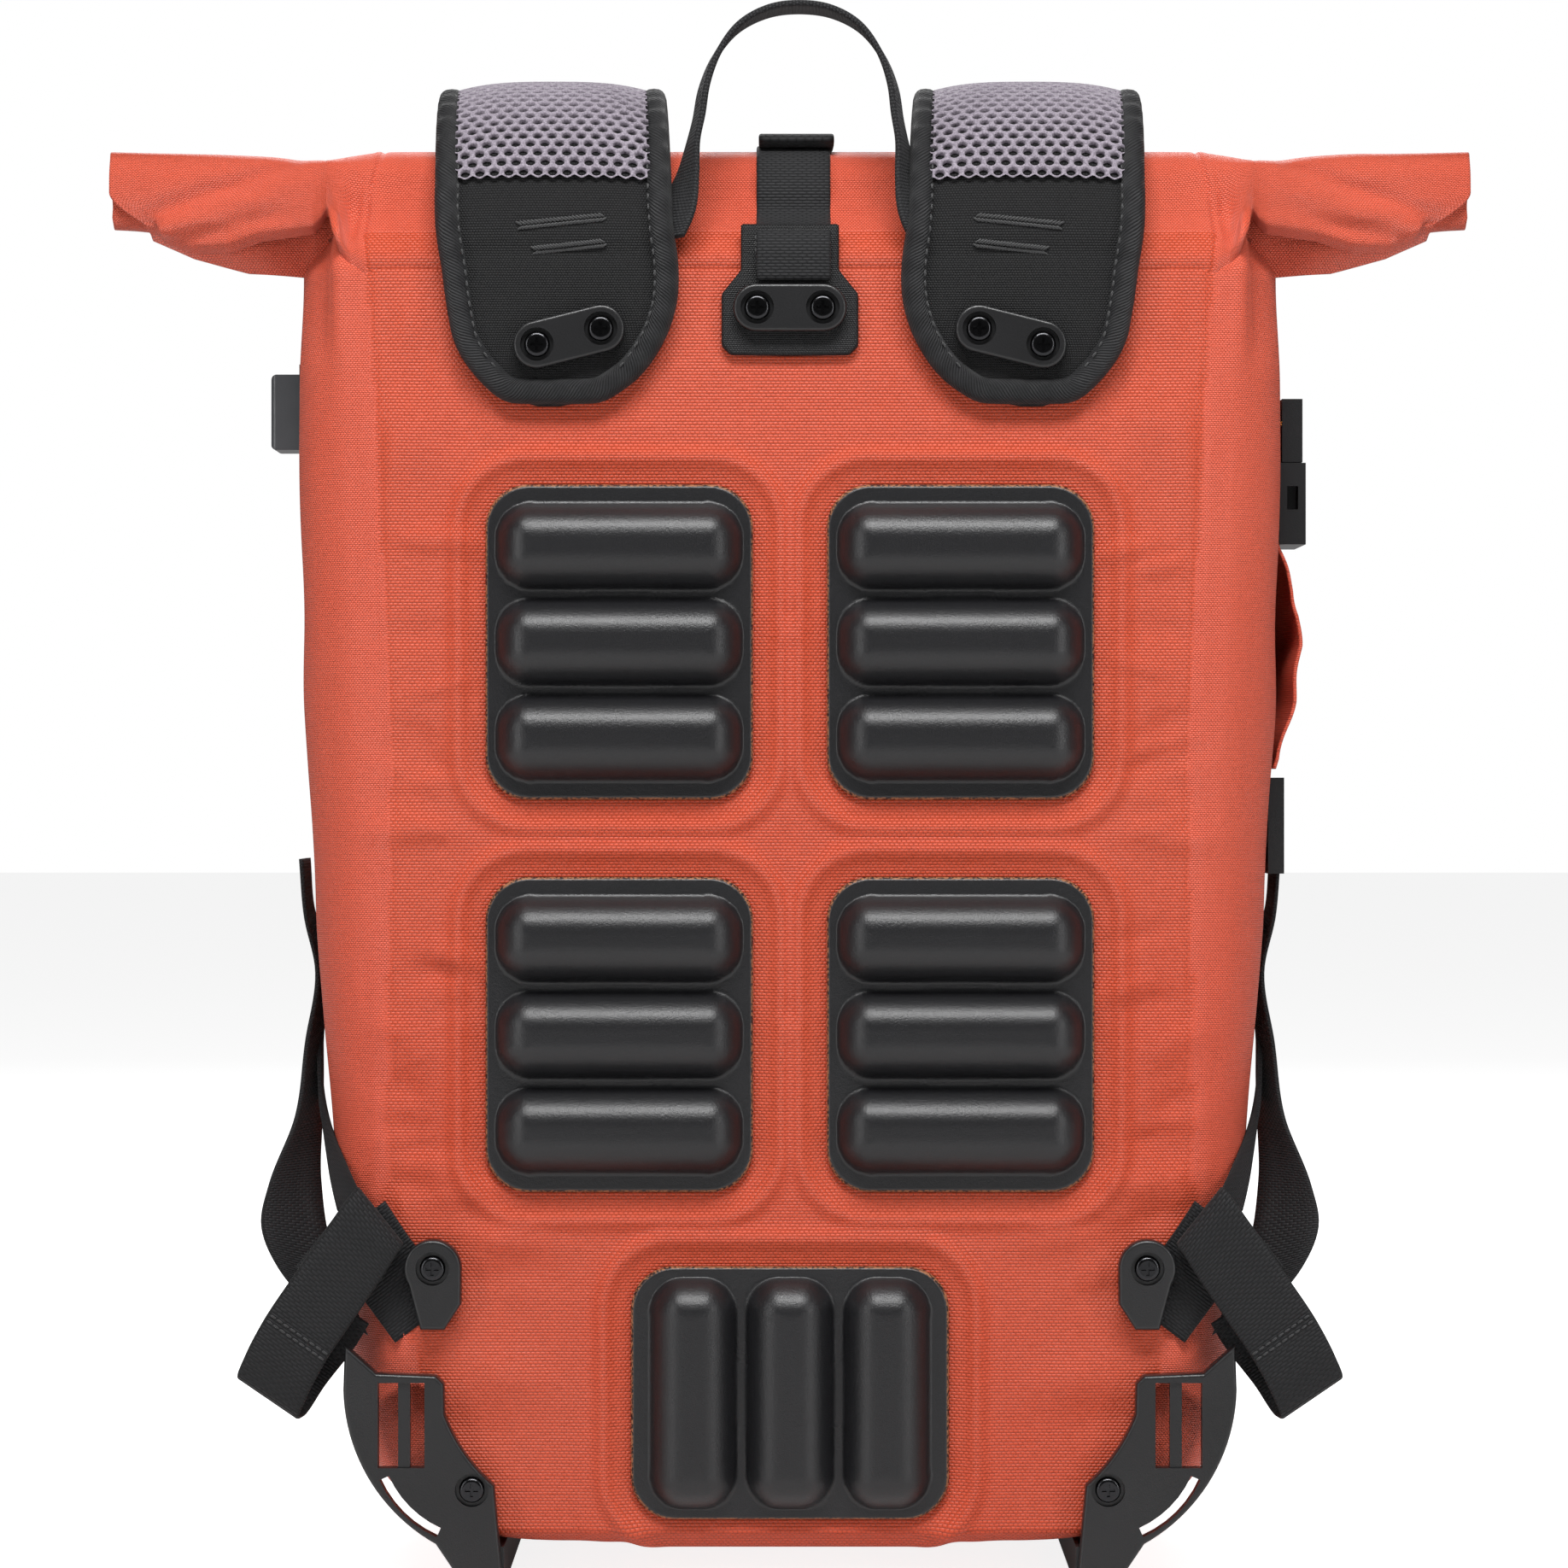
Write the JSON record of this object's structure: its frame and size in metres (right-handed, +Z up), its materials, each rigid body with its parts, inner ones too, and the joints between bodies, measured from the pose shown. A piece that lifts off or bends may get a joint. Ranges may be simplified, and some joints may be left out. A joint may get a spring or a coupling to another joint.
{
  "type": "convertible roll-top pannier backpack",
  "caption": "Roll-top waterproof pannier bag with padded back panel, shoulder straps, carry handle, corner guards and latching rack hooks.",
  "frame": {"origin": "on the ground under the middle of the bag's overall box", "axes": "+Z up, -Y out of the padded back panel, +Y towards the bicycle rack, +X to the right seen from the padded side"},
  "size_m": [0.464, 0.2294, 0.5359],
  "materials": {
    "coated_fabric": "satin coated basket weave",
    "moulded_foam": "satin moulded foam",
    "strap_fabric": "woven with spacer mesh",
    "webbing": "ribbed webbing",
    "black_coated_fabric": "coated, matt",
    "black_screws": "black oxide",
    "steel": "plain zinc",
    "stiff_sheet": "plain extruded sheet",
    "grey_plastic": "half gloss",
    "rail_plastic": "fine grain",
    "black_plastic": "fine grain"
  },
  "bodies": {
    "root": {"bag_shell": "coated_fabric", "roll_top": "coated_fabric", "roll_stiffener": "stiff_sheet", "back_sheet": "stiff_sheet", "base_sheet": "stiff_sheet", "upper_pad_left": "moulded_foam", "upper_pad_right": "moulded_foam", "lower_pad_left": "moulded_foam", "lower_pad_right": "moulded_foam", "lumbar_pad": "moulded_foam", "shoulder_strap_left": "strap_fabric", "shoulder_strap_right": "strap_fabric", "strap_plate_left": "black_plastic", "strap_plate_right": "black_plastic", "centre_tab": "black_coated_fabric", "centre_plate": "black_plastic", "strap_screws": "black_screws", "centre_screws": "black_screws", "panel_nuts": "steel", "corner_screws": "black_screws", "closure_strap": "webbing", "strap_end": "webbing", "buckle_socket": "black_plastic", "buckle_strap": "webbing", "handle_ends": "webbing", "corner_bracket_left": "black_plastic", "corner_bracket_right": "black_plastic", "corner_tab_left": "black_plastic", "corner_tab_right": "black_plastic", "tab_webbing_left": "webbing", "tab_webbing_right": "webbing", "lower_webbing_left": "webbing", "lower_webbing_right": "webbing", "strap_tail_left": "webbing", "strap_tail_right": "webbing", "ladder_lock_left": "black_plastic", "ladder_lock_right": "black_plastic", "side_holder": "grey_plastic", "side_patch": "black_coated_fabric", "side_socket": "black_plastic", "side_flap": "coated_fabric", "side_adjuster": "black_plastic", "top_rail": "rail_plastic", "low_rail": "rail_plastic", "rail_caps": "black_plastic", "rail_screws": "black_screws", "rail_nuts": "steel"},
    "hook_left": {"rack_hook_left": "black_plastic", "latch_pin_left": "steel"},
    "hook_right": {"rack_hook_right": "black_plastic", "latch_pin_right": "steel"},
    "latch_left": {"latch_left": "black_plastic"},
    "latch_right": {"latch_right": "black_plastic"},
    "carriage": {"low_carriage": "black_plastic", "low_hook_screw": "black_screws"},
    "swivel_hook": {"low_hook": "black_plastic"},
    "closure_plug": {"buckle_plug": "black_plastic"},
    "side_plug": {"side_plug": "black_plastic"},
    "handle_loop": {"carry_handle": "webbing"}
  },
  "joints": [
    {"name": "hook_left_slide", "type": "slide", "parent": "root", "child": "hook_left", "axis": [1, 0, 0], "range_m": [-0.02, 0.014]},
    {"name": "hook_right_slide", "type": "slide", "parent": "root", "child": "hook_right", "axis": [-1, 0, 0], "range_m": [-0.02, 0.014]},
    {"name": "latch_left_turn", "type": "hinge", "parent": "hook_left", "child": "latch_left", "pos_m": [-0.046, 0.09085, 0.278], "axis": [1, 0, 0], "range_deg": [-32, 0], "stiffness_Nm_per_rad": 0.02, "springref_deg": 8.59},
    {"name": "latch_right_turn", "type": "hinge", "parent": "hook_right", "child": "latch_right", "pos_m": [0.046, 0.09085, 0.278], "axis": [1, 0, 0], "range_deg": [-32, 0], "stiffness_Nm_per_rad": 0.02, "springref_deg": 8.59},
    {"name": "carriage_slide", "type": "slide", "parent": "root", "child": "carriage", "axis": [1, 0, 0], "range_m": [-0.035, 0.035]},
    {"name": "low_hook_turn", "type": "hinge", "parent": "carriage", "child": "swivel_hook", "pos_m": [0, 0.08715, 0.11], "axis": [0, 1, 0], "range_deg": [-110, 110]},
    {"name": "closure_release", "type": "slide", "parent": "root", "child": "closure_plug", "axis": [0, -0.311, 0.9504], "range_m": [0, 0.018]},
    {"name": "side_release", "type": "slide", "parent": "root", "child": "side_plug", "axis": [0, 0, 1], "range_m": [0, 0.018]},
    {"name": "handle_fold", "type": "hinge", "parent": "root", "child": "handle_loop", "pos_m": [0.002, -0.10025, 0.482], "axis": [1, 0, 0], "range_deg": [-8, 75]}
  ]
}
